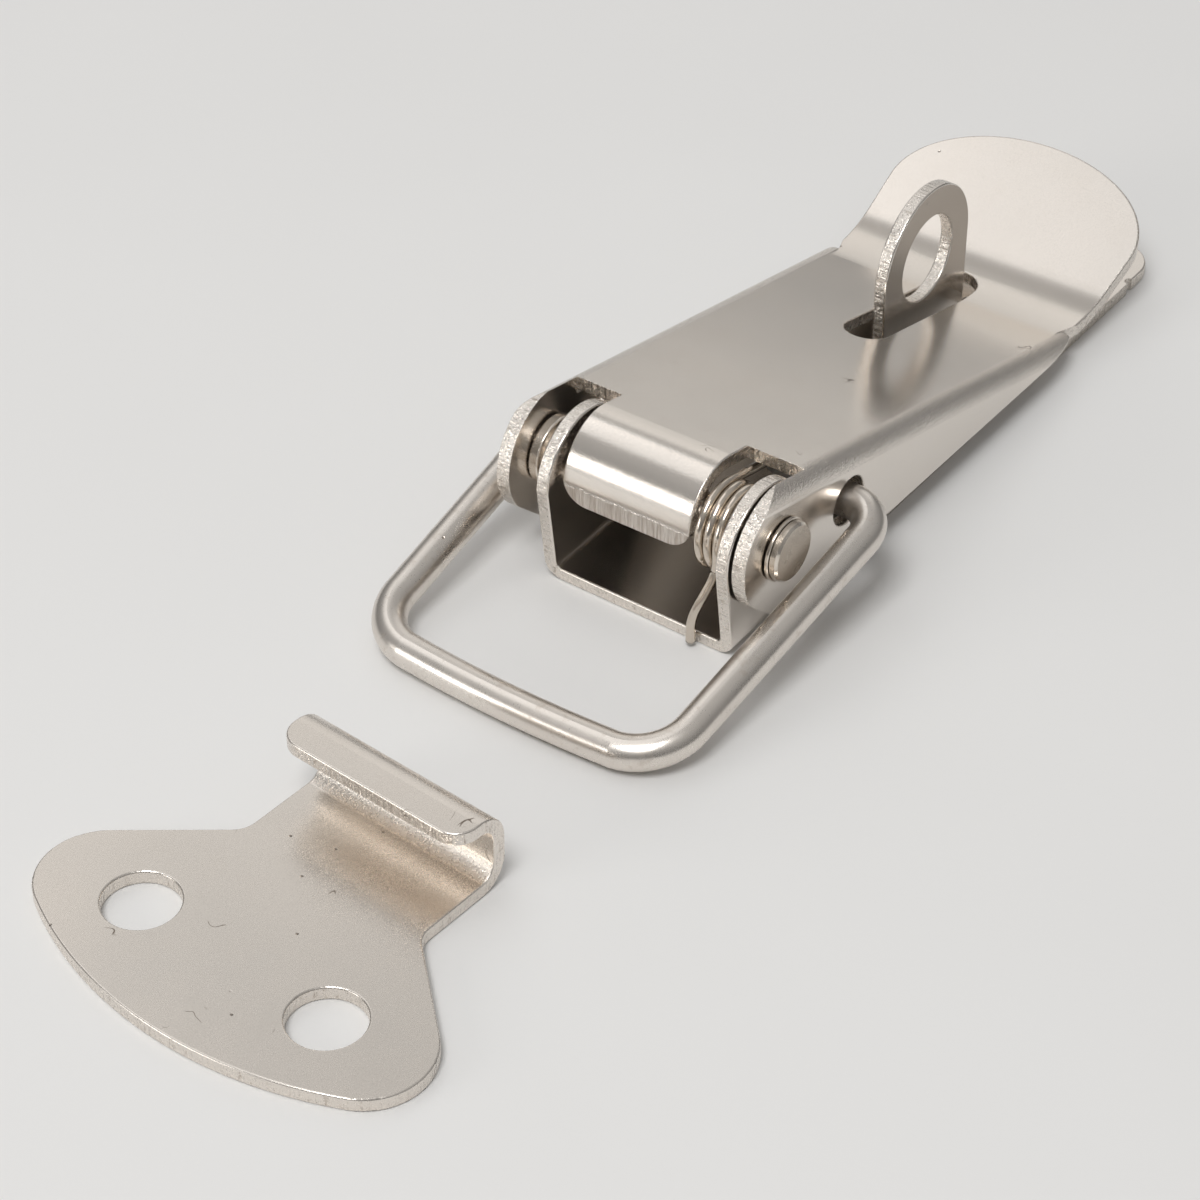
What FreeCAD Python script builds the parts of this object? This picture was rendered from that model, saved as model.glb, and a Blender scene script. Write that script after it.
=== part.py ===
"""Sprung toggle latch with a padlock eye, and its separate keeper plate.

Millimetres.  Z is up and the mounting surface is z = 0.  X runs from the keeper towards the
lever's thumb tab, Y runs along the pivot rivet.  The origin is on the mounting surface, under
the rivet's axis and midway between the base's two ears.
"""
import math
import os

import FreeCAD
import Part

V = FreeCAD.Vector

# ---------------------------------------------------------------- driving dimensions
SHEET = 0.9                 # thickness of every pressed sheet part

# pivot rivet
PIVOT_Z = 6.86
SHANK_R = 1.45
RIVET_HEAD_R = 1.9
RIVET_HEAD_T = 0.5
RIVET_CHAMFER = 0.15

# base plate
BASE_HALF_W = 6.9
BASE_FRONT_X = -3.1
BASE_REAR_X = 48.5
BASE_REAR_CORNER_R = 2.6
BASE_EAR_R = 3.85
BASE_EAR_LEAN = 1.0         # how far the ear's front edge leans forward at the pivot's height
BASE_EAR_REAR_X = 8.6
BASE_BEND_R = 1.2           # outer radius of the fold between floor and ear
SCREW_R = 2.25
BASE_SCREW_X = (14.5, 42.0)
NICK_X = 44.4
NICK_R = 0.35

# padlock eye, bent up out of the base's floor
EYE_X = 31.0
EYE_Z = 6.8
EYE_R = 5.1
EYE_HOLE_R = 3.0
EYE_Y = 1.65                # middle of the sheet
EYE_WINDOW_Y = -5.4
EYE_WINDOW_GAP = 0.5

# lever
LEVER_Y = 0.9
LEVER_HALF_W = 8.95         # outer half width at the pivot
LEVER_TAPER = 0.027         # outward slope of each side, per mm of X
LEVER_YAW_DEG = 1.0         # the lever sits slightly askew on its loose rivet
LEVER_SLOPE_DEG = 14.0
LEVER_EAR_R = 4.0
LEVER_BEND_R = 1.3
LEVER_BOTTOM_Z = 2.0
LEVER_TAIL_X = 34.5
NOTCH_X = 3.33                # clears the base ears at every angle of the lever
TONGUE_Y = (-3.3, 5.75)
TONGUE_R = 3.5
TONGUE_TANGENT_X = 1.5
TONGUE_END_Z = 6.05
TONGUE_CORNER_R = 1.6
SLOT_X = (22.7, 36.75)
SLOT_Y = (-0.05, 2.9)
TAB_BEND_X = 33.2
TAB_BEND_R = 10.0
TAB_RISE_DEG = 22.0
TAB_HALF_W = 9.0
TAB_WIDE_X = 42.3
TAB_WIDE_HALF_W = 9.3
TAB_END_X = 48.0
TAB_OFFSET = 0.12           # the tab's centre line sits a little right of the lever's

# bail
WIRE_R = 1.1
BAIL_PIVOT = (7.4, 5.75)
BAIL_HOLE = (7.15, 5.9)
BAIL_HOLE_R = 1.6
BAIL_Y = 0.8
BAIL_HALF_FRONT = 10.45     # wire centre, at the front corners
BAIL_HALF_REAR = 11.25      # wire centre, at the rear corners
BAIL_LENGTH = 23.15         # pivot to the front bar's middle
BAIL_BOW = 0.9
BAIL_CORNER_R = 3.6
BAIL_REAR_R = 2.2
BAIL_FRONT_Z = 1.1
BAIL_END_PAST_FLANGE = 1.0

# torsion spring
SPRING_WIRE_R = 0.3
SPRING_COIL_R = 2.55        # wire centre
SPRING_PITCH = 0.66
SPRING_START_Y = -5.2
SPRING_TURNS = 2.25
SPRING_FOOT = (-3.57, -4.15, 0.35)
SPRING_LEG_LENGTH = 9.0
SPRING_LEG_DROP_DEG = 13.0

# keeper plate
KEEPER_X = -40.13
KEEPER_Y = 0.14
KEEPER_YAW_DEG = -3.95
KEEPER_HOLE_HALF = 6.9
KEEPER_FRONT_X = -6.3
KEEPER_FRONT_R = 26.0
KEEPER_FLANK = ((7.7, 6.6), (-0.45, 16.2))
KEEPER_CORNER_R = 3.85
KEEPER_WAIST_R = 1.6
NECK_HALF_W = 6.55
HOOK_OUTER_X = 14.65
HOOK_OUTER_R = 2.0
HOOK_TOP_Z = 5.4
LIP_END_X = 10.95
LIP_LEFT_Y = 7.05
LIP_CORNER_R = 1.5

EDGE = 0.12                 # softening of the blanked outlines


# ---------------------------------------------------------------- helpers
def export(name, shape):
    """Writes one sub-part."""
    os.makedirs("parts", exist_ok=True)
    shape.exportStep("parts/" + name + ".step")


def line(p, q):
    return Part.LineSegment(p, q).toShape()


def arc(p, mid, q):
    return Part.Arc(p, mid, q).toShape()


def xz(x, z, y=0.0):
    return V(x, y, z)


def prism_y(edges, y0, y1):
    """Solid from a closed XZ outline drawn at y = 0, standing from y0 to y1."""
    face = Part.Face(Part.Wire(edges))
    face.translate(V(0, y0, 0))
    return face.extrude(V(0, y1 - y0, 0))


def prism_z(edges, z0, z1):
    """Solid from a closed XY outline drawn at z = 0, standing from z0 to z1."""
    face = Part.Face(Part.Wire(edges))
    face.translate(V(0, 0, z0))
    return face.extrude(V(0, 0, z1 - z0))


def polygon(points):
    closed = list(points) + [points[0]]
    return [line(a, b) for a, b in zip(closed[:-1], closed[1:])]


def cylinder_y(x, z, r, y0, y1):
    return Part.makeCylinder(r, y1 - y0, V(x, y0, z), V(0, 1, 0))


def box(x0, x1, y0, y1, z0, z1):
    return Part.makeBox(x1 - x0, y1 - y0, z1 - z0, V(x0, y0, z0))


def polar(cx, cz, r, deg):
    return xz(cx + r * math.cos(math.radians(deg)), cz + r * math.sin(math.radians(deg)))


def edges_where(shape, test):
    return [e for e in shape.Edges if test(e)]


def is_along(edge, axis):
    if len(edge.Vertexes) != 2 or edge.Curve.TypeId != "Part::GeomLine":
        return False
    d = edge.Vertexes[1].Point.sub(edge.Vertexes[0].Point)
    return d.cross(axis).Length < 1e-6 * d.Length


def is_sharp(shape, edge):
    """True where the edge's two faces meet at a real corner."""
    faces = shape.ancestorsOfType(edge, Part.Face)
    if len(faces) != 2:
        return False
    first, last = edge.ParameterRange
    p = edge.valueAt((first + last) / 2)
    a, b = [f.normalAt(*f.Surface.parameter(p)) for f in faces]
    return a.getAngle(b) > math.radians(30)


def soften(shape, where, radius):
    """Rounds the sharp edges whose middle passes the test."""
    return shape.makeFillet(radius, [e for e in shape.Edges if is_sharp(shape, e) and where(e.CenterOfMass)])


def clean(shape):
    """The single solid of a boolean result."""
    shape = shape.removeSplitter()
    solids = shape.Solids
    assert len(solids) == 1, len(solids)
    return solids[0]


def ring(r_out, r_in, y0, y1, soft):
    """Washer on the pivot axis with its outer rims softened."""
    disc = cylinder_y(0, PIVOT_Z, r_out, y0, y1)
    disc = disc.makeFillet(soft, edges_where(disc, lambda e: e.Curve.TypeId == "Part::GeomCircle"))
    return clean(disc.cut(cylinder_y(0, PIVOT_Z, r_in, y0 - 1, y1 + 1)))


# ---------------------------------------------------------------- base
def base_side_outline():
    """Side view of the ear down to the floor's underside."""
    lean_x = BASE_FRONT_X - BASE_EAR_LEAN
    # the ear's round top meets the leaning front edge a little above the pivot
    a0 = 168.0
    front = polar(0, PIVOT_Z, BASE_EAR_R + 0.12, a0)
    a1 = 22.0
    rear = polar(0, PIVOT_Z, BASE_EAR_R, a1)
    top = polar(0, PIVOT_Z, BASE_EAR_R, 80.0)
    knee = xz(BASE_EAR_REAR_X - 2.2, SHEET + 0.6)
    foot = xz(BASE_EAR_REAR_X, 0)
    return [line(xz(BASE_FRONT_X, 0), xz(lean_x + 0.1, PIVOT_Z)),
            line(xz(lean_x + 0.1, PIVOT_Z), front),
            arc(front, top, rear),
            line(rear, knee),
            line(knee, foot),
            line(foot, xz(BASE_FRONT_X, 0))]


def make_base():
    outer = box(BASE_FRONT_X - 3, BASE_EAR_REAR_X + 1, -BASE_HALF_W, BASE_HALF_W, 0, 14)
    long_low = edges_where(outer, lambda e: is_along(e, V(1, 0, 0)) and e.BoundBox.ZMax < 1)
    outer = outer.makeFillet(BASE_BEND_R, long_low)
    inner_w = BASE_HALF_W - SHEET
    inner = box(BASE_FRONT_X - 5, BASE_EAR_REAR_X + 3, -inner_w, inner_w, SHEET, 16)
    long_low = edges_where(inner, lambda e: is_along(e, V(1, 0, 0)) and e.BoundBox.ZMax < 2)
    inner = inner.makeFillet(BASE_BEND_R - SHEET, long_low)
    channel = outer.cut(inner)
    ears = channel.common(prism_y(base_side_outline(), -BASE_HALF_W - 1, BASE_HALF_W + 1))

    floor = box(BASE_EAR_REAR_X - 2.6, BASE_REAR_X, -BASE_HALF_W, BASE_HALF_W, 0, SHEET)
    corners = edges_where(floor, lambda e: is_along(e, V(0, 0, 1)) and e.BoundBox.XMin > BASE_REAR_X - 1)
    floor = floor.makeFillet(BASE_REAR_CORNER_R, corners)
    for side in (-1, 1):
        nick = Part.makeCylinder(NICK_R, 4, V(NICK_X, side * BASE_HALF_W, -1))
        floor = floor.cut(nick)
    for x in BASE_SCREW_X:
        floor = floor.cut(Part.makeCylinder(SCREW_R, 4, V(x, 0, -1)))
    window = box(EYE_X - EYE_R - EYE_WINDOW_GAP, EYE_X + EYE_R + EYE_WINDOW_GAP,
                 EYE_WINDOW_Y, EYE_Y - SHEET / 2, -1, 3)
    window = window.makeFillet(0.6, edges_where(window, lambda e: is_along(e, V(0, 0, 1))))
    floor = floor.cut(window)

    left, right = EYE_X - EYE_R, EYE_X + EYE_R
    outline = [line(xz(left, 0.3), xz(left, EYE_Z)),
               arc(xz(left, EYE_Z), xz(EYE_X, EYE_Z + EYE_R), xz(right, EYE_Z)),
               line(xz(right, EYE_Z), xz(right, 0.3)),
               line(xz(right, 0.3), xz(left, 0.3))]
    eye = prism_y(outline, EYE_Y - SHEET / 2, EYE_Y + SHEET / 2)
    eye = eye.cut(cylinder_y(EYE_X, EYE_Z, EYE_HOLE_R, EYE_Y - 2, EYE_Y + 2))
    rims = edges_where(eye, lambda e: e.BoundBox.ZMin > EYE_Z - EYE_HOLE_R - 0.1
                       and e.BoundBox.YLength < 0.01 and e.Curve.TypeId == "Part::GeomCircle")
    eye = eye.makeFillet(EDGE, rims)
    # inside radius where the eye leaves the floor
    bend = box(left, right, EYE_Y + SHEET / 2 - 0.05, EYE_Y + SHEET / 2 + 0.5, SHEET - 0.1, SHEET + 0.5)
    bend = bend.cut(Part.makeCylinder(0.5, right - left + 2,
                                      V(left - 1, EYE_Y + SHEET / 2 + 0.5, SHEET + 0.5), V(1, 0, 0)))

    base = clean(ears.fuse([floor, eye, bend]))
    base = soften(base, lambda c: c.x < BASE_EAR_REAR_X and c.z > 1.3, EDGE)
    base = soften(base, lambda c: c.x > NICK_X, EDGE)
    hole = cylinder_y(0, PIVOT_Z, SHANK_R + 0.02, -BASE_HALF_W - 1, BASE_HALF_W + 1)
    return clean(base.cut(hole))


# ---------------------------------------------------------------- lever
SLOPE = math.radians(LEVER_SLOPE_DEG)
PLANE_N = (math.sin(SLOPE), math.cos(SLOPE))    # outward normal of the sloping top, in X and Z


def top_z(x, depth=0.0):
    """Height of the sloping top plane, or of a plane this depth under it."""
    return PIVOT_Z + (LEVER_EAR_R - depth) / math.cos(SLOPE) - math.tan(SLOPE) * x


def lever_half_width(x):
    return LEVER_HALF_W + LEVER_TAPER * x


def tapered_block(inset, x0, x1, z_low, depth):
    """Wedge that fills the lever's plan between x0 and x1, under the sloping top."""
    y0 = lever_half_width(x0) - inset
    y1 = lever_half_width(x1) - inset
    plan = [V(x0, LEVER_Y - y0, 0), V(x1, LEVER_Y - y1, 0), V(x1, LEVER_Y + y1, 0), V(x0, LEVER_Y + y0, 0)]
    block = prism_z(polygon(plan), z_low, 30)
    above = polygon([xz(x0 - 5, top_z(x0 - 5, depth)), xz(x1 + 5, top_z(x1 + 5, depth)),
                     xz(x1 + 5, 40), xz(x0 - 5, 40)])
    return block.cut(prism_y(above, -30, 30))


def long_top_edges(block):
    def test(e):
        box_ = e.BoundBox
        return box_.XLength > 20 and box_.ZMax > 5 and box_.YLength < 3
    return edges_where(block, test)


def lever_channel():
    x0, x1 = -6.0, LEVER_TAIL_X
    outer = tapered_block(0, x0, x1, LEVER_BOTTOM_Z, 0)
    outer = outer.makeFillet(LEVER_BEND_R, long_top_edges(outer))
    inner = tapered_block(SHEET, x0 - 2, x1 + 4, LEVER_BOTTOM_Z - 3, SHEET)
    inner = inner.makeFillet(LEVER_BEND_R - SHEET, long_top_edges(inner))
    return outer.cut(inner)


def lever_side_outline():
    """Side view of the flanges: round ear at the pivot, straight lower edge."""
    high = polar(0, PIVOT_Z, LEVER_EAR_R, 90 - LEVER_SLOPE_DEG)
    low = polar(0, PIVOT_Z, LEVER_EAR_R, 222.0)
    start = xz(-0.6, LEVER_BOTTOM_Z)
    return [arc(high, polar(0, PIVOT_Z, LEVER_EAR_R, 170.0), low),
            line(low, start),
            line(start, xz(LEVER_TAIL_X, LEVER_BOTTOM_Z)),
            line(xz(LEVER_TAIL_X, LEVER_BOTTOM_Z), xz(LEVER_TAIL_X, 20)),
            line(xz(LEVER_TAIL_X, 20), xz(0.97, 20)),
            line(xz(0.97, 20), high)]


def tongue_solid():
    """Middle strip of the top that curls down in front of the rivet."""
    cx = TONGUE_TANGENT_X - TONGUE_R * PLANE_N[0]
    cz = top_z(TONGUE_TANGENT_X) - TONGUE_R * PLANE_N[1]
    r_in = TONGUE_R - SHEET
    a_top = 90 - LEVER_SLOPE_DEG
    back = 6.0
    outer_start = xz(back, top_z(back))
    outer_tan = polar(cx, cz, TONGUE_R, a_top)
    outer_low = xz(cx - TONGUE_R, cz)
    outer_end = xz(cx - TONGUE_R, TONGUE_END_Z)
    inner_end = xz(cx - r_in, TONGUE_END_Z)
    inner_low = xz(cx - r_in, cz)
    inner_tan = polar(cx, cz, r_in, a_top)
    inner_start = xz(back, top_z(back, SHEET))
    outline = [line(outer_start, outer_tan),
               arc(outer_tan, polar(cx, cz, TONGUE_R, (a_top + 180) / 2), outer_low),
               line(outer_low, outer_end),
               line(outer_end, inner_end),
               line(inner_end, inner_low),
               arc(inner_low, polar(cx, cz, r_in, (a_top + 180) / 2), inner_tan),
               line(inner_tan, inner_start),
               line(inner_start, outer_start)]
    tongue = prism_y(outline, *TONGUE_Y)
    corners = edges_where(tongue, lambda e: is_along(e, V(1, 0, 0)) and e.BoundBox.ZMax < TONGUE_END_Z + 0.1)
    return tongue.makeFillet(TONGUE_CORNER_R, corners)


def tab_solid():
    """Thumb tab: runs on from the sloping top, bends up and ends in a rounded tip."""
    start = 30.0
    r_out = TAB_BEND_R            # upper face is the inside of this bend
    bx, bz = TAB_BEND_X, top_z(TAB_BEND_X)
    cx = bx + r_out * PLANE_N[0]
    cz = bz + r_out * PLANE_N[1]
    a0 = 270 - LEVER_SLOPE_DEG
    a1 = 270 + TAB_RISE_DEG
    rise = math.radians(TAB_RISE_DEG)
    run = TAB_END_X + 3
    faces = []
    for depth in (0.0, SHEET):
        r = r_out + depth
        p0 = xz(start, top_z(start, depth))
        p1 = polar(cx, cz, r, a0)
        pm = polar(cx, cz, r, (a0 + a1) / 2)
        p2 = polar(cx, cz, r, a1)
        p3 = xz(p2.x + (run - p2.x), p2.z + (run - p2.x) * math.tan(rise))
        faces.append((p0, p1, pm, p2, p3))
    up, low = faces
    outline = [line(up[0], up[1]), arc(up[1], up[2], up[3]), line(up[3], up[4]), line(up[4], low[4]),
               line(low[4], low[3]), arc(low[3], low[2], low[1]), line(low[1], low[0]), line(low[0], up[0])]
    sheet = prism_y(outline, -14, 16)
    c = LEVER_Y - TAB_OFFSET
    half = lever_half_width(start) - LEVER_BEND_R
    waist_x = LEVER_TAIL_X + 1.2
    tip = Part.Ellipse(V(TAB_WIDE_X, c + TAB_WIDE_HALF_W, 0), V(TAB_END_X, c, 0), V(TAB_WIDE_X, c, 0))
    tip_edge = Part.ArcOfEllipse(tip, 0, math.pi).toShape()
    right_wide = V(TAB_WIDE_X, c - TAB_WIDE_HALF_W, 0)
    left_wide = V(TAB_WIDE_X, c + TAB_WIDE_HALF_W, 0)
    plan = [line(V(start, c - half, 0), V(waist_x - 1.6, c - half, 0)),
            line(V(waist_x - 1.6, c - half, 0), V(waist_x, c - TAB_HALF_W, 0)),
            line(V(waist_x, c - TAB_HALF_W, 0), right_wide),
            tip_edge,
            line(left_wide, V(waist_x, c + TAB_HALF_W, 0)),
            line(V(waist_x, c + TAB_HALF_W, 0), V(waist_x - 1.6, c + half, 0)),
            line(V(waist_x - 1.6, c + half, 0), V(start, c + half, 0)),
            line(V(start, c + half, 0), V(start, c - half, 0))]
    return sheet.common(prism_z(plan, -5, 25))


def make_lever():
    channel = lever_channel().common(prism_y(lever_side_outline(), -14, 16))
    # the top is cut away between the flanges; the tongue is then put back in the middle of the gap
    w0 = lever_half_width(-8) - SHEET
    w1 = lever_half_width(NOTCH_X) - SHEET
    notch = [V(-8, LEVER_Y - w0, 0), V(NOTCH_X, LEVER_Y - w1, 0),
             V(NOTCH_X, LEVER_Y + w1, 0), V(-8, LEVER_Y + w0, 0)]
    channel = channel.cut(prism_z(polygon(notch), PIVOT_Z - 1, 16))
    lever = channel.fuse([tongue_solid(), tab_solid()])
    lever.rotate(V(0, LEVER_Y, 0), V(0, 0, 1), LEVER_YAW_DEG)
    r = (SLOT_Y[1] - SLOT_Y[0]) / 2
    ym = (SLOT_Y[0] + SLOT_Y[1]) / 2
    xa, xb = SLOT_X[0] + r, SLOT_X[1] - r
    slot = prism_z([line(V(xa, ym - r, 0), V(xb, ym - r, 0)),
                    arc(V(xb, ym - r, 0), V(xb + r, ym, 0), V(xb, ym + r, 0)),
                    line(V(xb, ym + r, 0), V(xa, ym + r, 0)),
                    arc(V(xa, ym + r, 0), V(xa - r, ym, 0), V(xa, ym - r, 0))], -2, 12)
    lever = clean(lever.cut(slot))
    lever = soften(lever, lambda c: SLOT_X[0] - 1 < c.x < SLOT_X[1] + 1
                   and SLOT_Y[0] - 0.1 < c.y < SLOT_Y[1] + 0.1, EDGE)
    lever = soften(lever, lambda c: c.x < NOTCH_X and TONGUE_Y[0] - 0.1 < c.y < TONGUE_Y[1] + 0.2, EDGE)
    lever = soften(lever, lambda c: c.x > LEVER_TAIL_X and c.z > 2.6, EDGE)
    # outer lower edge of each flange
    for side in (-1, 1):
        lever = soften(lever, lambda c: c.z < LEVER_BOTTOM_Z + 0.01 and side * (c.y - LEVER_Y) > 8.65
                       and 5 < c.x < 25, EDGE)
    lever = lever.cut(cylinder_y(0, PIVOT_Z, SHANK_R + 0.05, -12, 14))
    lever = clean(lever.cut(cylinder_y(BAIL_HOLE[0], BAIL_HOLE[1], BAIL_HOLE_R, -12, 14)))
    hx, hz = BAIL_HOLE
    return soften(lever, lambda c: math.hypot(c.x - hx, c.z - hz) < BAIL_HOLE_R + 0.1, EDGE)


# ---------------------------------------------------------------- bail
def make_bail():
    """Wire loop, drawn flat in its own plane and then tilted down to the mounting surface."""
    half_f, half_r = BAIL_HALF_FRONT, BAIL_HALF_REAR
    end_right = -(LEVER_HALF_W - SHEET - BAIL_END_PAST_FLANGE) + (LEVER_Y - BAIL_Y)
    end_left = (LEVER_HALF_W - SHEET - BAIL_END_PAST_FLANGE) + (LEVER_Y - BAIL_Y)
    front = -BAIL_LENGTH
    corner_x = front + BAIL_BOW

    def corner(a, b, c, r):
        """Tangent points and middle of an arc of radius r at b, between a-b and b-c."""
        u = a.sub(b)
        w = c.sub(b)
        u.normalize()
        w.normalize()
        half = math.acos(max(-1, min(1, u.dot(w)))) / 2
        reach = r / math.tan(half)
        bis = u.add(w)
        bis.normalize()
        centre = b.add(bis.multiply(r / math.sin(half)))
        p = b.add(V(u.x * reach, u.y * reach, 0))
        q = b.add(V(w.x * reach, w.y * reach, 0))
        toward = b.sub(centre)
        toward.normalize()
        mid = centre.add(toward.multiply(r))
        return p, mid, q

    pe_r = V(0, end_right, 0)
    pr = V(0, -half_r, 0)
    pf_r = V(corner_x, -half_f, 0)
    pf_l = V(corner_x, half_f, 0)
    pl = V(0, half_r, 0)
    pe_l = V(0, end_left, 0)
    # the front bar is bowed, so its corners are taken against the bow's end tangent
    bow_r = (half_f ** 2 + BAIL_BOW ** 2) / (2 * BAIL_BOW)
    bow_a = math.asin(half_f / bow_r)
    tangent = V(-math.sin(bow_a), math.cos(bow_a), 0)
    a0, a1, a2 = corner(pe_r, pr, pf_r, BAIL_REAR_R)
    b0, b1, b2 = corner(pr, pf_r, pf_r.add(V(tangent.x * 5, tangent.y * 5, 0)), BAIL_CORNER_R)

    def flip(p):
        return V(p.x, -p.y, p.z)

    bow_mid = V(front + 0.12, 0, 0)
    path = [line(pe_r, a0), arc(a0, a1, a2), line(a2, b0), arc(b0, b1, b2),
            arc(b2, bow_mid, flip(b2)),
            arc(flip(b2), flip(b1), flip(b0)), line(flip(b0), flip(a2)), arc(flip(a2), flip(a1), flip(a0)),
            line(flip(a0), pe_l)]
    spine = Part.Wire(path)
    section = Part.Wire([Part.Circle(pe_r, V(0, 1, 0), WIRE_R).toShape()])
    loop = spine.makePipeShell([section], True, False)
    if not loop.Solids:
        loop = Part.Solid(loop.Shells[0])
    else:
        loop = loop.Solids[0]
    ends = edges_where(loop, lambda e: e.Curve.TypeId == "Part::GeomCircle"
                       and e.BoundBox.YLength < 0.01)
    loop = loop.makeFillet(0.2, ends)
    tilt = math.degrees(math.asin((BAIL_PIVOT[1] - BAIL_FRONT_Z) / BAIL_LENGTH))
    loop.rotate(V(0, 0, 0), V(0, 1, 0), -tilt)
    loop.translate(V(BAIL_PIVOT[0], BAIL_Y, BAIL_PIVOT[1]))
    return loop


# ---------------------------------------------------------------- rivet and its rings
def make_rivet():
    right_out = LEVER_Y - LEVER_HALF_W
    left_out = LEVER_Y + LEVER_HALF_W
    head_right = (right_out - 0.34 - RIVET_HEAD_T, right_out - 0.34)
    head_left = (left_out + 0.12, left_out + 0.12 + RIVET_HEAD_T - 0.1)
    shank = cylinder_y(0, PIVOT_Z, SHANK_R, head_right[0] + 0.2, head_left[1] - 0.2)
    heads = []
    for y0, y1 in (head_right, head_left):
        head = cylinder_y(0, PIVOT_Z, RIVET_HEAD_R, y0, y1)
        outer = y0 if y0 < 0 else y1
        rim = edges_where(head, lambda e: e.Curve.TypeId == "Part::GeomCircle"
                          and abs(e.BoundBox.YMin - outer) < 0.01)
        heads.append(head.makeChamfer(RIVET_CHAMFER, rim))
    return clean(shank.fuse(heads))


def make_rings():
    right_out = LEVER_Y - LEVER_HALF_W
    left_in = LEVER_Y + LEVER_HALF_W - SHEET
    inner = BASE_HALF_W + 0.04
    return {
        "rivet_washer": ring(2.05, SHANK_R + 0.03, right_out - 0.3, right_out - 0.07, 0.08),
        "spacer_ring_outer": ring(2.25, SHANK_R + 0.03, left_in - 0.88, left_in - 0.14, 0.15),
        "spacer_ring_inner": ring(1.95, SHANK_R + 0.03, inner, inner + 0.6, 0.15),
    }


# ---------------------------------------------------------------- spring
def make_spring():
    """Torsion spring: coil on the rivet, one leg over the floor's front edge, one under the lever."""
    foot_x, foot_y, foot_z = SPRING_FOOT
    front_x = -SPRING_COIL_R
    # from the foot up to the coil's front
    points = [V(foot_x, foot_y, foot_z),
              V(foot_x, foot_y, 1.2),
              V(foot_x + 0.05, foot_y - 0.06, 2.0),
              V(foot_x + 0.45, foot_y - 0.5, 3.6),
              V(front_x, SPRING_START_Y + 0.05, 5.6)]
    # coil: starts at the front, goes up and over towards the lever's tail
    steps = int(SPRING_TURNS * 16)
    end_deg = 360 * SPRING_TURNS + SPRING_LEG_DROP_DEG
    for i in range(steps + 1):
        turned = end_deg * i / steps
        y = SPRING_START_Y + SPRING_PITCH * turned / 360
        p = polar(0, PIVOT_Z, SPRING_COIL_R, 180 - turned)
        points.append(V(p.x, y, p.z))
    drop = math.radians(SPRING_LEG_DROP_DEG)
    last = points[-1]
    for reach in (SPRING_LEG_LENGTH * 0.15, SPRING_LEG_LENGTH * 0.5, SPRING_LEG_LENGTH):
        points.append(V(last.x + reach * math.cos(drop), last.y, last.z - reach * math.sin(drop)))
    curve = Part.BSplineCurve()
    curve.interpolate(Points=points, InitialTangent=V(0, 0, 1),
                      FinalTangent=V(math.cos(drop), 0, -math.sin(drop)))
    spine = Part.Wire([curve.toShape()])
    section = Part.Wire([Part.Circle(points[0], V(0, 0, 1), SPRING_WIRE_R).toShape()])
    return spine.makePipeShell([section], True, False).Solids[0]


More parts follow.
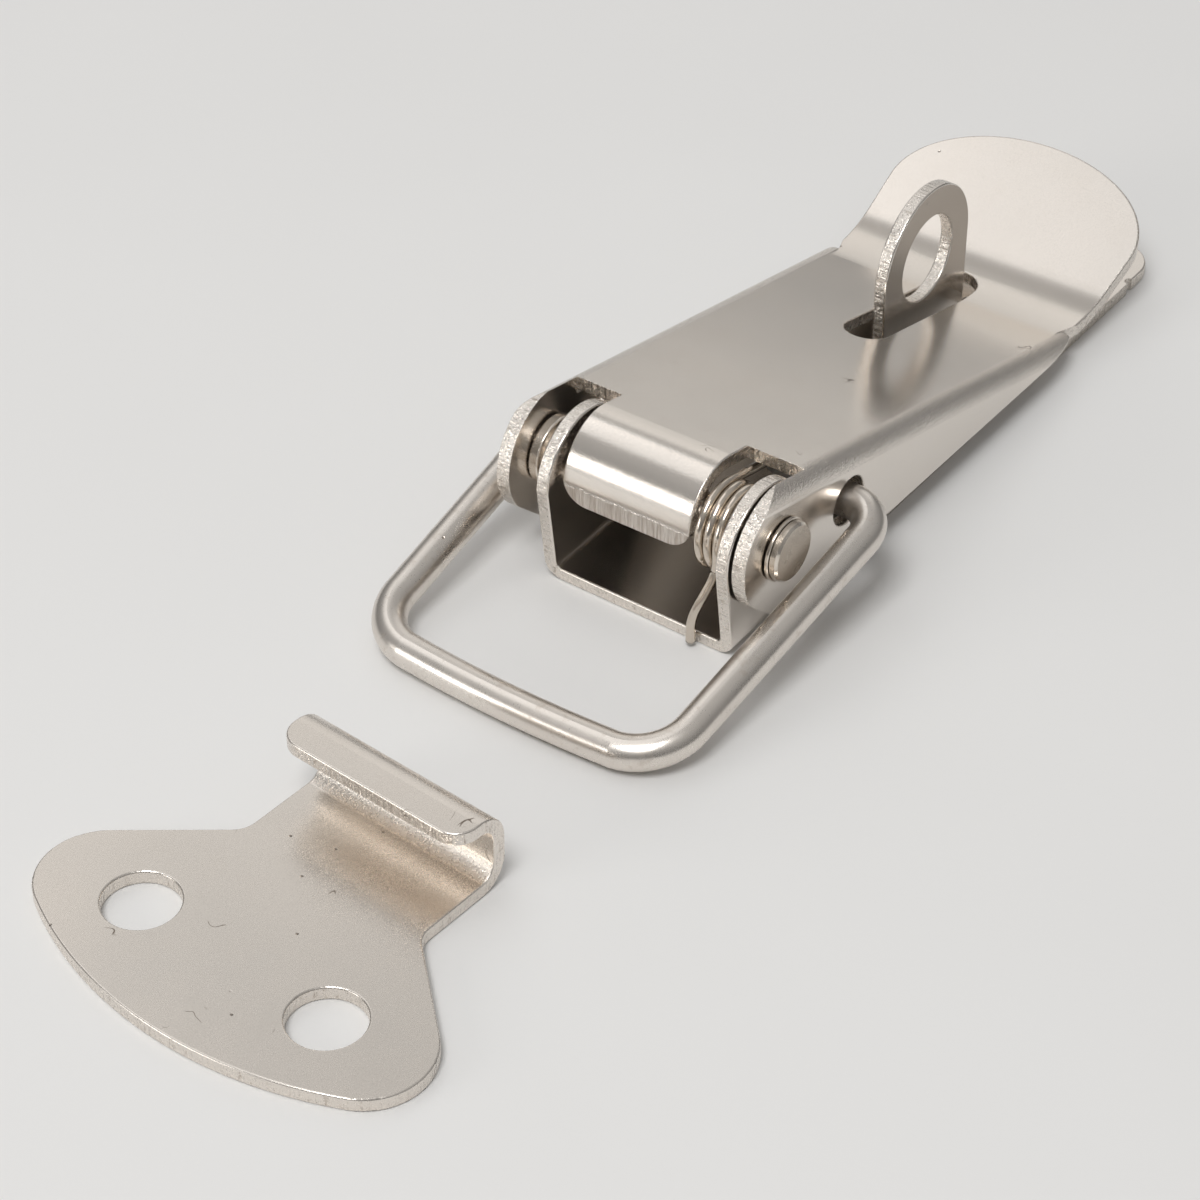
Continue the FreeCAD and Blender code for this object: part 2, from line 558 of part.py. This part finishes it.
# ---------------------------------------------------------------- keeper
def make_keeper():
    (ax, ay), (bx, by) = KEEPER_FLANK
    apex = V(KEEPER_FRONT_X, 0, 0)
    plate = prism_z([line(V(HOOK_OUTER_X - HOOK_OUTER_R, NECK_HALF_W, 0), V(ax, NECK_HALF_W, 0)),
                     line(V(ax, NECK_HALF_W, 0), V(bx, by, 0)),
                     arc(V(bx, by, 0), apex, V(bx, -by, 0)),
                     line(V(bx, -by, 0), V(ax, -NECK_HALF_W, 0)),
                     line(V(ax, -NECK_HALF_W, 0), V(HOOK_OUTER_X - HOOK_OUTER_R, -NECK_HALF_W, 0)),
                     line(V(HOOK_OUTER_X - HOOK_OUTER_R, -NECK_HALF_W, 0),
                          V(HOOK_OUTER_X - HOOK_OUTER_R, NECK_HALF_W, 0))], 0, SHEET)
    upright = edges_where(plate, lambda e: is_along(e, V(0, 0, 1)))
    plate = plate.makeFillet(KEEPER_CORNER_R, [e for e in upright if e.BoundBox.XMin < ax - 2])
    upright = edges_where(plate, lambda e: is_along(e, V(0, 0, 1)) and abs(e.BoundBox.XMin - ax) < 0.01)
    plate = plate.makeFillet(KEEPER_WAIST_R, upright)
    for side in (-1, 1):
        plate = plate.cut(Part.makeCylinder(SCREW_R, 4, V(0, side * KEEPER_HOLE_HALF, -1)))

    x_out, r_out = HOOK_OUTER_X, HOOK_OUTER_R
    x_in, r_in = x_out - SHEET, r_out - SHEET
    z_in = HOOK_TOP_Z - SHEET
    cx = x_out - r_out
    z_low, z_high = r_out, HOOK_TOP_Z - r_out
    s = math.sqrt(0.5)
    outline = [line(xz(cx - 0.5, 0), xz(cx, 0)),
               arc(xz(cx, 0), xz(cx + r_out * s, z_low - r_out * s), xz(x_out, z_low)),
               line(xz(x_out, z_low), xz(x_out, z_high)),
               arc(xz(x_out, z_high), xz(cx + r_out * s, z_high + r_out * s), xz(cx, HOOK_TOP_Z)),
               line(xz(cx, HOOK_TOP_Z), xz(LIP_END_X, HOOK_TOP_Z)),
               line(xz(LIP_END_X, HOOK_TOP_Z), xz(LIP_END_X, z_in)),
               line(xz(LIP_END_X, z_in), xz(cx, z_in)),
               arc(xz(cx, z_in), xz(cx + r_in * s, z_high + r_in * s), xz(x_in, z_high)),
               line(xz(x_in, z_high), xz(x_in, z_low)),
               arc(xz(x_in, z_low), xz(cx + r_in * s, z_low - r_in * s), xz(cx, SHEET)),
               line(xz(cx, SHEET), xz(cx - 0.5, SHEET)),
               line(xz(cx - 0.5, SHEET), xz(cx - 0.5, 0))]
    hook = prism_y(outline, -NECK_HALF_W, LIP_LEFT_Y)
    corners = edges_where(hook, lambda e: is_along(e, V(0, 0, 1)) and abs(e.BoundBox.XMin - LIP_END_X) < 0.01)
    hook = hook.makeFillet(LIP_CORNER_R, corners)
    hook = hook.cut(box(0, 20, NECK_HALF_W, NECK_HALF_W + 5, -1, HOOK_TOP_Z / 2))
    keeper = soften(clean(plate.fuse(hook)), lambda c: True, EDGE)
    keeper.rotate(V(0, 0, 0), V(0, 0, 1), KEEPER_YAW_DEG)
    keeper.translate(V(KEEPER_X, KEEPER_Y, 0))
    return keeper


def main():
    export("base", make_base())
    export("lever", make_lever())
    export("bail", make_bail())
    export("rivet", make_rivet())
    for name, shape in make_rings().items():
        export(name, shape)
    export("keeper", make_keeper())
    export("spring", make_spring())


main()
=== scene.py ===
"""Looks for the sprung toggle latch: nickel-plated sheet, wire, rivet and spring on a pale floor."""
import math

import bmesh
import bpy
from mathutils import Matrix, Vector
from mathutils.bvhtree import BVHTree


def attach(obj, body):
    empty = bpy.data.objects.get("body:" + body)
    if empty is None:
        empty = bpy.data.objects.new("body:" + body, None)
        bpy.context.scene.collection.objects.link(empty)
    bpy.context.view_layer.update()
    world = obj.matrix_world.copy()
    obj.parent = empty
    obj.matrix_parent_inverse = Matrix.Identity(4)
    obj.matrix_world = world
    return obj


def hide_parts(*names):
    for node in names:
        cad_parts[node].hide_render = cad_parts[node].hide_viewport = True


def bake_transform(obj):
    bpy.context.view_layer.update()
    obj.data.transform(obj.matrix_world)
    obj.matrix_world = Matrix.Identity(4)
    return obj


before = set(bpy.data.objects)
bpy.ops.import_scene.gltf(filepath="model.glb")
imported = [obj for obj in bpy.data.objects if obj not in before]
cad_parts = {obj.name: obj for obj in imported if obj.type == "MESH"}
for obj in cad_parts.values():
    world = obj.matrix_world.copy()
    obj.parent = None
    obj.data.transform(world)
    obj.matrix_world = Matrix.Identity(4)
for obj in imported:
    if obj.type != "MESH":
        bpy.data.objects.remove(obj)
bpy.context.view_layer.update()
MM = 0.001

# ---------------------------------------------------------------- places on the part, in millimetres
SHEET = 0.9                     # thickness of the sheet
BASE_FLOOR_TOP = 1.0            # anything on the base above this belongs to an ear or the eye
LEVER_Y = 0.9                   # the lever's middle
LEVER_FLANGE_Y = 7.6            # its flanges lie further than this from its middle
TONGUE_REAR_X = 0.5             # the rolled tongue lies in front of this
TONGUE_Y = 1.2                  # the tongue's middle
SHADED_DRAG_HALF_Y = 5.2               # the tongue's drag marks and painted shade end this far from its middle
SHADED_DRAG_FRONT_X = -2.5             # the tongue's flat end lies in front of this
SHADED_DRAG_TOP_Z = 7.5                # and below this
SHADED_DRAG_FADE_X = 0.2               # the marks and painted shade fade out over these lengths
SHADED_DRAG_FADE_Y = 0.4
SHADED_DRAG_FADE_Z = 0.1
KEEPER_X = -40.13               # the middle between the keeper's screw holes
KEEPER_BEND_X = 11.5            # its bends are further than this from there
KEEPER_LOW_BEND_Z = 2.0         # the lower bend is below this
SPRING_LEG_TOP_Z = 5.5          # the spring's front leg is below this
SPRING_LEG_REAR_X = -2.3        # and in front of this

# ---------------------------------------------------------------- colours
WARM_NICKEL = (0.830, 0.772, 0.710)
COOL_NICKEL = (0.775, 0.727, 0.673)
CLOUD = (0.70, 0.61, 0.52)
GRAIN = (0.50, 0.45, 0.39)
PIT = (0.20, 0.16, 0.13)
HAIR = (0.17, 0.13, 0.10)
# colour of the tongue's drag marks, darkened further as painted shade
DRAG_AND_SHADE = (0.52, 0.45, 0.39)
TORN = (0.40, 0.34, 0.28)
SCUFF = (0.46, 0.38, 0.30)
FLOOR_DARK = (0.79, 0.785, 0.775)
FLOOR_LIGHT = (0.82, 0.815, 0.805)
STUDIO_WHITE = (1.0, 0.99, 0.975)


# ---------------------------------------------------------------- node helpers
class Tree:
    """Short names for building a material's node tree; all positions are worked out in millimetres."""

    def __init__(self, name):
        self.mat = bpy.data.materials.new(name)
        self.mat.use_nodes = True
        self.nt = self.mat.node_tree
        self.nt.nodes.clear()
        self.out = self.add("ShaderNodeOutputMaterial")
        self.bsdf = self.add("ShaderNodeBsdfPrincipled")
        self.link(self.bsdf.outputs[0], self.out.inputs[0])
        coords = self.add("ShaderNodeTexCoord")
        scaled = self.add("ShaderNodeVectorMath", operation="SCALE")
        scaled.inputs["Scale"].default_value = 1000.0
        self.link(coords.outputs["Object"], scaled.inputs[0])
        self.mm = scaled.outputs[0]

    def add(self, kind, **props):
        node = self.nt.nodes.new(kind)
        for key, value in props.items():
            setattr(node, key, value)
        return node

    def link(self, a, b):
        self.nt.links.new(a, b)

    def feed(self, socket, value):
        if isinstance(value, bpy.types.NodeSocket):
            self.link(value, socket)
        else:
            socket.default_value = value

    def stretched(self, x, y, z):
        """Position with each axis scaled: a small number draws a pattern out along that axis."""
        node = self.add("ShaderNodeVectorMath", operation="MULTIPLY")
        self.link(self.mm, node.inputs[0])
        node.inputs[1].default_value = (x, y, z)
        return node.outputs[0]

    def noise(self, scale, detail=3.0, rough=0.5, vector=None, distortion=0.0):
        node = self.add("ShaderNodeTexNoise")
        self.link(vector or self.mm, node.inputs["Vector"])
        node.inputs["Scale"].default_value = scale
        node.inputs["Detail"].default_value = detail
        node.inputs["Roughness"].default_value = rough
        node.inputs["Distortion"].default_value = distortion
        return node.outputs["Fac"]

    def cells(self, scale):
        """Distance from the middle of each random cell, and that cell's own random value."""
        node = self.add("ShaderNodeTexVoronoi")
        self.link(self.mm, node.inputs["Vector"])
        node.inputs["Scale"].default_value = scale
        return node.outputs["Distance"], node.outputs["Color"]

    def ramp(self, value, low, high, to_low=0.0, to_high=1.0):
        node = self.add("ShaderNodeMapRange")
        self.link(value, node.inputs["Value"])
        node.inputs["From Min"].default_value = low
        node.inputs["From Max"].default_value = high
        node.inputs["To Min"].default_value = to_low
        node.inputs["To Max"].default_value = to_high
        return node.outputs[0]

    def math(self, operation, a, b=0.0):
        node = self.add("ShaderNodeMath", operation=operation)
        self.feed(node.inputs[0], a)
        self.feed(node.inputs[1], b)
        return node.outputs[0]

    def times(self, a, b):
        return self.math("MULTIPLY", a, b)

    def plus(self, a, b):
        return self.math("ADD", a, b)

    def off(self, value, middle):
        """How far a value is from a middle, either way."""
        return self.math("ABSOLUTE", self.math("SUBTRACT", value, middle))

    def mix(self, factor, a, b):
        """Number mix."""
        node = self.add("ShaderNodeMix", data_type="FLOAT")
        self.feed(node.inputs["Factor"], factor)
        self.feed(node.inputs["A"], a)
        self.feed(node.inputs["B"], b)
        return node.outputs["Result"]

    def tint(self, factor, a, b):
        """Colour mix; its sockets share their names with the number mix, so they go by place."""
        node = self.add("ShaderNodeMix", data_type="RGBA")
        self.feed(node.inputs[0], factor)
        for socket, value in ((node.inputs[6], a), (node.inputs[7], b)):
            self.feed(socket, value if isinstance(value, bpy.types.NodeSocket) else (*value, 1.0))
        return node.outputs[2]

    def bump(self, height, strength, distance_mm, normal=None):
        node = self.add("ShaderNodeBump")
        node.inputs["Strength"].default_value = strength
        node.inputs["Distance"].default_value = distance_mm * MM
        self.link(height, node.inputs["Height"])
        if normal is not None:
            self.link(normal, node.inputs["Normal"])
        return node.outputs[0]

    def attribute(self, name):
        return self.add("ShaderNodeAttribute", attribute_name=name).outputs["Fac"]


class Nickel(Tree):
    """Nickel plate, laid on in coats that each change the colour, roughness and normal so far."""

    def __init__(self, name, warm, cool, gloss, grain, soft_edge):
        """Bare plate: slow tone changes and a fine grain, with rims rounded by soft_edge millimetres."""
        super().__init__(name)
        slow = self.noise(0.06, 2.0)
        cloud = self.noise(0.35, 4.0, 0.6)
        fine = self.noise(9.0, 4.0, 0.6)
        micro = self.noise(28.0, 2.0, 0.5)
        self.colour = self.tint(self.ramp(slow, 0.35, 0.65), warm, cool)
        self.stain(self.ramp(cloud, 0.45, 0.70, 0.0, 0.06), CLOUD)
        self.stain(self.ramp(fine, 0.45, 0.75, 0.0, 0.12), GRAIN)
        self.rough = self.plus(self.ramp(cloud, 0.3, 0.7, *gloss), self.ramp(fine, 0.3, 0.7, -0.02, 0.04))
        self.normal = None
        if soft_edge:
            rim = self.add("ShaderNodeBevel", samples=4)
            rim.inputs["Radius"].default_value = soft_edge * MM
            self.normal = rim.outputs[0]
        self.emboss(self.plus(self.times(fine, 0.6), self.times(micro, 0.4)), 0.05 * grain, 0.05)

    def stain(self, mask, colour):
        self.colour = self.tint(mask, self.colour, colour)

    def emboss(self, height, strength, distance_mm):
        self.normal = self.bump(height, strength, distance_mm, self.normal)

    def pits(self, amount):
        """Sparse pits, 0.1 to 0.2 mm across."""
        distance, lot = self.cells(0.8)
        chosen = self.ramp(lot, 0.86 - 0.08 * amount, 0.90 - 0.08 * amount)
        pit = self.times(self.ramp(distance, 0.085, 0.045), chosen)
        self.stain(self.times(pit, 0.8), PIT)
        self.emboss(self.times(pit, -1.0), 0.5, 0.05)

    def hairs(self, amount):
        """A few dark hairs, about a millimetre long."""
        winding = self.noise(0.55, 1.0, 0.5, distortion=0.9)
        line = self.ramp(self.off(winding, 0.5), 0.0085, 0.003)
        distance, lot = self.cells(0.22)
        chosen = self.times(self.ramp(distance, 0.16, 0.12), self.ramp(lot, 0.28, 0.30))
        self.stain(self.times(self.times(line, chosen), 0.9 * min(1.0, amount)), HAIR)

    def shaded_drag_band(self):
        """Vertical drag marks on the tongue's flat end, up to a wavy line, with the band's colour
        darkened as painted shade.
        """
        xyz = self.add("ShaderNodeSeparateXYZ")
        self.link(self.mm, xyz.inputs[0])
        x, y, z = xyz.outputs
        wave = self.times(self.noise(2.2, 3.0, 0.6, self.stretched(1.0, 1.0, 0.25)), 0.5)
        below = self.ramp(self.plus(z, wave), SHADED_DRAG_TOP_Z + SHADED_DRAG_FADE_Z, SHADED_DRAG_TOP_Z)
        ahead = self.ramp(x, SHADED_DRAG_FRONT_X + SHADED_DRAG_FADE_X, SHADED_DRAG_FRONT_X)
        within = self.ramp(self.off(y, TONGUE_Y), SHADED_DRAG_HALF_Y + SHADED_DRAG_FADE_Y, SHADED_DRAG_HALF_Y)
        band = self.times(self.times(below, ahead), within)
        drag = self.noise(1.0, 3.0, 0.65, self.stretched(5.0, 5.0, 0.35))
        # painted shade: the band's darker colour stands for shade on the tongue's flat end; its streaks
        # and bump are real drag marks
        self.stain(self.times(band, self.ramp(drag, 0.38, 0.62, 0.0, 0.8)), DRAG_AND_SHADE)
        self.rough = self.mix(band, self.rough, self.ramp(drag, 0.3, 0.7, 0.30, 0.42))
        self.emboss(self.times(drag, band), 0.9, 0.16)

    def bends(self):
        """Orange peel where the sheet was stretched round a bend."""
        bend = self.attribute("bend")
        peel = self.noise(6.0, 3.0, 0.7)
        self.emboss(self.times(peel, bend), 0.8, 0.08)
        self.rough = self.plus(self.rough, self.times(bend, self.ramp(peel, 0.4, 0.7, 0.0, 0.08)))

    def sheared_edges(self):
        """Drag marks across the thickness of the sheet, torn in places."""
        shear, across = self.attribute("shear"), self.attribute("across")
        along_y = self.noise(1.0, 3.0, 0.6, self.stretched(4.5, 0.5, 4.5))
        along_z = self.noise(1.0, 3.0, 0.6, self.stretched(4.5, 4.5, 0.5))
        streak = self.mix(across, along_z, along_y)
        torn = self.noise(2.6, 3.0, 0.65)
        relief = self.plus(self.times(streak, 0.9), self.times(torn, 0.6))
        self.rough = self.mix(shear, self.rough, self.ramp(torn, 0.35, 0.65, 0.20, 0.32))
        self.stain(self.times(shear, self.ramp(relief, 0.84, 0.98, 0.0, 0.7)), TORN)
        self.emboss(self.times(relief, shear), 0.9, 0.14)

    def scuffs(self):
        """Dull patches on drawn wire and turned metal."""
        scuff = self.ramp(self.noise(1.1, 5.0, 0.7), 0.56, 0.66)
        self.stain(self.times(scuff, 0.28), SCUFF)
        self.rough = self.plus(self.rough, self.times(scuff, 0.07))

    def finish(self):
        self.link(self.colour, self.bsdf.inputs["Base Color"])
        self.bsdf.inputs["Metallic"].default_value = 1.0
        self.link(self.rough, self.bsdf.inputs["Roughness"])
        self.link(self.normal, self.bsdf.inputs["Normal"])
        return self.mat


def plated_sheet(name, gloss, marks, shaded_drag_band=False):
    metal = Nickel(name, WARM_NICKEL, COOL_NICKEL, gloss, grain=1.0, soft_edge=0.05)
    metal.pits(marks)
    metal.hairs(marks)
    if shaded_drag_band:
        metal.shaded_drag_band()
    metal.bends()
    metal.sheared_edges()
    return metal.finish()


def plated_round(name, gloss, grain, marks=0.0, warm=WARM_NICKEL, cool=COOL_NICKEL):
    """Finish of drawn wire and turned parts."""
    metal = Nickel(name, warm, cool, gloss, grain, soft_edge=0.0)
    if marks:
        metal.pits(marks)
        metal.hairs(marks)
    metal.scuffs()
    return metal.finish()


# ---------------------------------------------------------------- mesh helpers
def add_object(name, data):
    obj = bpy.data.objects.new(name, data)
    bpy.context.scene.collection.objects.link(obj)
    return obj


def dress(mesh, material):
    mesh.materials.clear()
    mesh.materials.append(material)


def flat_groups(mesh, max_turn):
    """Lists of faces that join across edges turning by less than max_turn radians."""
    bm = bmesh.new()
    bm.from_mesh(mesh)
    bm.faces.ensure_lookup_table()
    seen, groups = set(), []
    for face in bm.faces:
        if face.index in seen:
            continue
        seen.add(face.index)
        group, queue = [], [face]
        while queue:
            f = queue.pop()
            group.append(f.index)
            for edge in f.edges:
                if len(edge.link_faces) != 2:
                    continue
                other = edge.link_faces[0] if edge.link_faces[1] is f else edge.link_faces[1]
                if other.index not in seen and f.normal.dot(other.normal) > math.cos(max_turn):
                    seen.add(other.index)
                    queue.append(other)
        groups.append(group)
    bm.free()
    return groups


def is_thick(tree, face):
    """Is the metal behind a face deeper than the sheet, so that the face is a sheared edge?"""
    skin_deep, reach, sheets = 0.02 * MM, 20 * MM, 1.45
    hit = tree.ray_cast(face.center - face.normal * skin_deep, -face.normal, reach)
    return hit[0] is None or hit[3] > sheets * SHEET * MM


def mark_faces(mesh, bends, across):
    """Stores on each face: is it a sheared edge, how grainy a bend it is, does its sheet face along y."""
    points = [v.co.copy() for v in mesh.vertices]
    tree = BVHTree.FromPolygons(points, [tuple(p.vertices) for p in mesh.polygons])
    faces = mesh.polygons
    thick = [is_thick(tree, p) for p in faces]
    values = {"shear": [0.0] * len(faces), "bend": [0.0] * len(faces), "across": [0.0] * len(faces)}
    for group in flat_groups(mesh, math.radians(13)):
        area = sum(faces[i].area for i in group)
        sheared = sum(faces[i].area for i in group if thick[i]) > 0.5 * area
        for i in group:
            centre = faces[i].center / MM
            values["shear"][i] = 1.0 if sheared else 0.0
            values["bend"][i] = 0.0 if sheared else bends(centre, faces[i].normal)
            values["across"][i] = 1.0 if across(centre) else 0.0
    for name, data in values.items():
        mesh.attributes.new(name, "FLOAT", "FACE").data.foreach_set("value", data)


# ---------------------------------------------------------------- sheet parts
def skin(node, material, bends, across):
    """Visible copy of a CAD sheet part, with its sheared edges and bends marked for the material."""
    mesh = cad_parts[node].data.copy()
    mesh.name = node + "_skin"
    obj = add_object(node + "_skin", mesh)
    mark_faces(mesh, bends, across)
    dress(mesh, material)
    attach(obj, node)
    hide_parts(node)


def base_bends(centre, normal):
    """The fold between the floor and each ear, and the one below the eye."""
    return 0.25 if 0.08 < abs(normal.y) < 0.985 and abs(normal.z) > 0.08 else 0.0


def base_across(centre):
    return centre.z > BASE_FLOOR_TOP


def lever_bends(centre, normal):
    if centre.x < TONGUE_REAR_X and abs(normal.y) < 0.3:
        return 0.12                              # rolled tongue
    return 0.9 if 0.04 < abs(normal.y) < 0.99 else 0.0


def lever_across(centre):
    return abs(centre.y - LEVER_Y) > LEVER_FLANGE_Y


def keeper_bends(centre, normal):
    if centre.x - KEEPER_X < KEEPER_BEND_X or abs(normal.z) > 0.995:
        return 0.0
    return 0.8 if centre.z < KEEPER_LOW_BEND_Z and normal.z > 0.3 else 0.2


def keeper_across(centre):
    return False


def make_sheet_parts():
    skin("base", plated_sheet("base_finish", (0.19, 0.22), 0.6),
         base_bends, base_across)
    skin("lever", plated_sheet("lever_finish", (0.165, 0.195), 0.9, shaded_drag_band=True),
         lever_bends, lever_across)
    skin("keeper", plated_sheet("keeper_finish", (0.235, 0.265), 1.6),
         keeper_bends, keeper_across)


# ---------------------------------------------------------------- wire, rivet and spring
def make_round_parts():
    wire = plated_round("plated_wire_finish", (0.25, 0.32), grain=0.7, marks=0.5)
    rivet = plated_round("plated_rivet_finish", (0.18, 0.26), grain=1.2, marks=0.5,
                         warm=(0.83, 0.75, 0.65))
    dress(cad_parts["bail"].data, wire)
    for node in ("rivet", "rivet_washer", "spacer_ring_inner", "spacer_ring_outer"):
        dress(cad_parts[node].data, rivet)


def is_front_leg(centre):
    return centre.z < SPRING_LEG_TOP_Z and centre.x < SPRING_LEG_REAR_X


def spring_piece(name, keep, material):
    """Part of the spring: the faces whose middle (in mm) passes keep, with the cut closed."""
    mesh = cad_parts["spring"].data.copy()
    mesh.name = name
    bm = bmesh.new()
    bm.from_mesh(mesh)
    dropped = [f for f in bm.faces if not keep(f.calc_center_median() / MM)]
    bmesh.ops.delete(bm, geom=dropped, context="FACES")
    bmesh.ops.holes_fill(bm, edges=[e for e in bm.edges if e.is_boundary], sides=0)
    bm.to_mesh(mesh)
    bm.free()
    dress(mesh, material)
    return add_object(name, mesh)


def make_spring():
    """The front leg stays on the base and the coil winds up between the base and the lever."""
    # painted shade: the spring's colours are darker than the other plated parts to stand for the shade on
    # the coil and leg
    finish = plated_round("spring_wire_shade_darkened", (0.13, 0.19), grain=0.6,
                          warm=(0.74, 0.66, 0.57), cool=(0.62, 0.56, 0.49))
    front_leg = spring_piece("spring_front_leg", is_front_leg, finish)
    coil = spring_piece("spring_coil", lambda c: not is_front_leg(c), finish)
    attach(front_leg, "base")
    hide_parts("spring")
    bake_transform(coil)


# ---------------------------------------------------------------- floor, light, camera
def make_floor():
    half, gap = 4.0, 0.02 * MM
    corners = [(-half, -half, 0), (half, -half, 0), (half, half, 0), (-half, half, 0)]
    mesh = bpy.data.meshes.new("floor")
    mesh.from_pydata(corners, [], [(0, 1, 2, 3)])
    obj = add_object("floor", mesh)
    obj.location.z = -gap
    t = Tree("floor_finish")
    t.link(t.tint(t.noise(0.03, 2.0), FLOOR_DARK, FLOOR_LIGHT), t.bsdf.inputs["Base Color"])
    t.bsdf.inputs["Roughness"].default_value = 0.6
    t.link(t.bump(t.noise(3.0, 4.0, 0.6), 0.15, 0.05), t.bsdf.inputs["Normal"])
    mesh.materials.append(t.mat)


def area_light(name, azimuth, elevation, distance, size, power, colour=(1, 1, 1)):
    """Rectangular soft light that looks at the origin from the given direction, in degrees and metres."""
    data = bpy.data.lights.new(name, "AREA")
    data.shape = "RECTANGLE"
    data.size, data.size_y = size
    data.energy = power
    data.color = colour
    obj = add_object(name, data)
    az, el = math.radians(azimuth), math.radians(elevation)
    toward = Vector((math.cos(az) * math.cos(el), math.sin(az) * math.cos(el), math.sin(el)))
    obj.location = toward * distance
    obj.rotation_euler = toward.to_track_quat("Z", "Y").to_euler()


def make_lights():
    area_light("overhead", 84, 67, distance=0.75, size=(0.46, 0.46), power=0.37, colour=(0.99, 0.99, 1.0))
    area_light("between", 75, 51, distance=0.85, size=(0.36, 0.30), power=0.15, colour=(1.0, 0.99, 0.98))
    area_light("back", 34, 28, distance=0.9, size=(0.80, 0.60), power=0.76, colour=(1.0, 0.98, 0.95))
    area_light("left", 150, 15, distance=0.8, size=(0.40, 0.24), power=1.1, colour=(1.0, 0.985, 0.965))
    area_light("key", -168, 62, distance=0.8, size=(0.30, 0.30), power=3.0)


def make_world(low, high):
    """Studio surround that brightens from low at the horizon to high at the ceiling."""
    world = bpy.data.worlds.new("studio")
    bpy.context.scene.world = world
    world.use_nodes = True
    nodes, links = world.node_tree.nodes, world.node_tree.links
    coords = nodes.new("ShaderNodeTexCoord")
    split = nodes.new("ShaderNodeSeparateXYZ")
    ramp = nodes.new("ShaderNodeMapRange")
    links.new(coords.outputs["Generated"], split.inputs[0])
    links.new(split.outputs[2], ramp.inputs["Value"])
    ramp.inputs["From Min"].default_value = 0.0
    ramp.inputs["From Max"].default_value = 0.8
    ramp.inputs["To Min"].default_value = low
    ramp.inputs["To Max"].default_value = high
    links.new(ramp.outputs[0], nodes["Background"].inputs[1])
    nodes["Background"].inputs[0].default_value = (*STUDIO_WHITE, 1)


def make_camera(azimuth, elevation, distance, target):
    """Long-lens camera looking at target; the azimuth is turned from -Y, in degrees and millimetres."""
    az, el = math.radians(azimuth), math.radians(elevation)
    back = Vector((math.sin(az) * math.cos(el), -math.cos(az) * math.cos(el), math.sin(el)))
    data = bpy.data.cameras.new("camera")
    data.lens = 105.0
    data.sensor_width = 36.0
    data.clip_start = 0.005
    camera = add_object("camera", data)
    camera.location = Vector(target) * MM + back * (distance * MM)
    camera.rotation_euler = back.to_track_quat("Z", "Y").to_euler()
    bpy.context.scene.camera = camera


make_sheet_parts()
make_round_parts()
make_spring()
make_floor()
make_world(0.12, 0.42)
make_lights()
make_camera(azimuth=-54.07, elevation=39.07, distance=211.03, target=(-3.28, 2.68, 0))
bpy.context.scene.view_settings.view_transform = "Standard"
